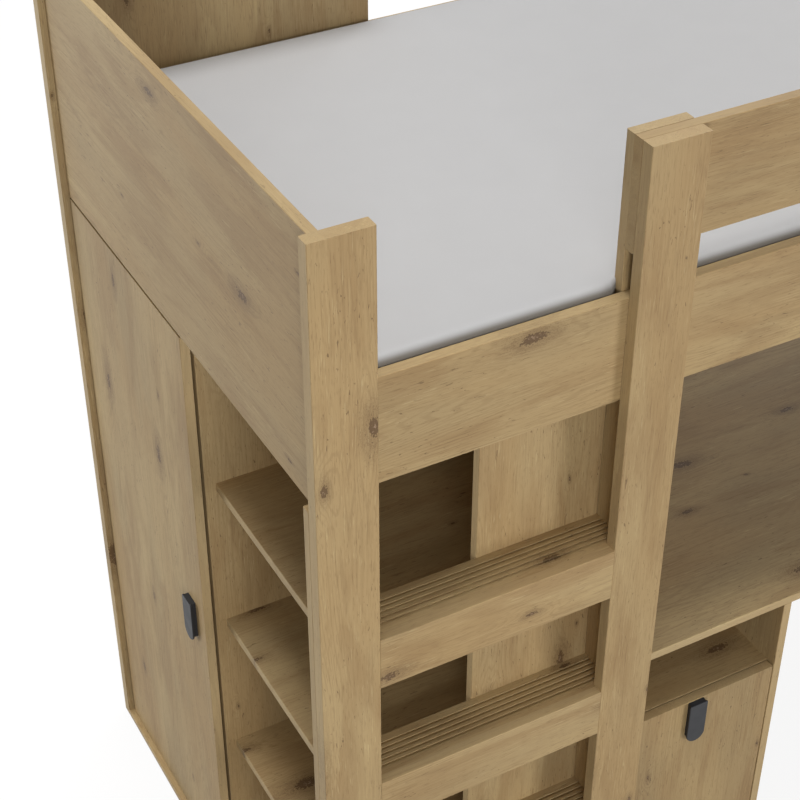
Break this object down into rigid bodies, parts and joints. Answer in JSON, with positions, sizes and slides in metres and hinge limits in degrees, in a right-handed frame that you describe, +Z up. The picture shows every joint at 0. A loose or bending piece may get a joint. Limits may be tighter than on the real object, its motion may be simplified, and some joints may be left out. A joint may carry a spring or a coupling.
{
  "type": "high sleeper bed",
  "caption": "High sleeper bed of oak-decor boards with a mattress, ladder with grooved treads, wardrobe, open bookcase, desk and pedestal with a pull-out.",
  "frame": {"origin": "middle of the bed's outline on the floor", "axes": "+X along the bed to the right-hand end, +Y from the ladder side to the wall side, +Z up"},
  "size_m": [2.056, 0.964, 1.643],
  "materials": {
    "oak": "matt knotty oak decor",
    "pine": "planed softwood",
    "drawer": "matt board",
    "mattress": "plain light grey cover",
    "ribbon": "woven",
    "steel": "zinc-plated",
    "handle": "matt blue-black"
  },
  "bodies": {
    "bed_frame": {"left_front_post": "oak", "ladder_stile": "oak", "right_front_post": "oak", "left_back_board": "oak", "right_back_post": "oak", "left_end_panel": "oak", "right_end_panel": "oak", "front_rail": "oak", "guard_rail": "oak", "stile_inner_board": "oak", "back_rail": "oak", "tread_fascia_1": "oak", "tread_fascia_2": "oak", "tread_fascia_3": "oak", "tread_fascia_4": "oak", "tread_board_1": "oak", "tread_board_2": "oak", "tread_board_3": "oak", "tread_board_4": "oak", "ladder_back_panel": "oak", "left_inner_board": "oak", "side_panel": "oak", "divider": "oak", "base_board": "oak", "cabinet_roof": "oak", "shelf_1": "oak", "shelf_2": "oak", "shelf_3": "oak", "desk_top": "oak", "desk_stretcher": "oak", "right_lower_panel": "oak", "pedestal_left_wall": "oak", "pedestal_right_wall": "oak", "pedestal_back": "oak", "niche_floor": "oak", "front_ledger": "pine", "back_ledger": "pine", "slats": "pine", "slat_ribbons": "ribbon", "mattress": "mattress", "clothes_rail": "steel", "rail_sockets": "steel", "runner_channels": "steel", "hinge_arms": "steel", "frame_bolts": "steel", "ledger_screws": "steel", "cam_locks": "steel", "dowels": "pine"},
    "door": {"wardrobe_door": "oak", "hinge_cups": "steel", "door_handle": "handle"},
    "pullout": {"pullout_front": "oak", "drawer_left_side": "drawer", "drawer_right_side": "drawer", "drawer_back_board": "drawer", "drawer_base_board": "drawer", "runner_slides": "steel", "pullout_handle": "handle"}
  },
  "joints": [
    {"name": "door_hinge", "type": "hinge", "parent": "bed_frame", "child": "door", "pos_m": [-1.017, 0.457, 0.618], "axis": [0, 0, -1], "range_deg": [0, 90]},
    {"name": "pullout_slide", "type": "slide", "parent": "bed_frame", "child": "pullout", "axis": [0, -1, 0], "range_m": [0, 0.4]}
  ]
}
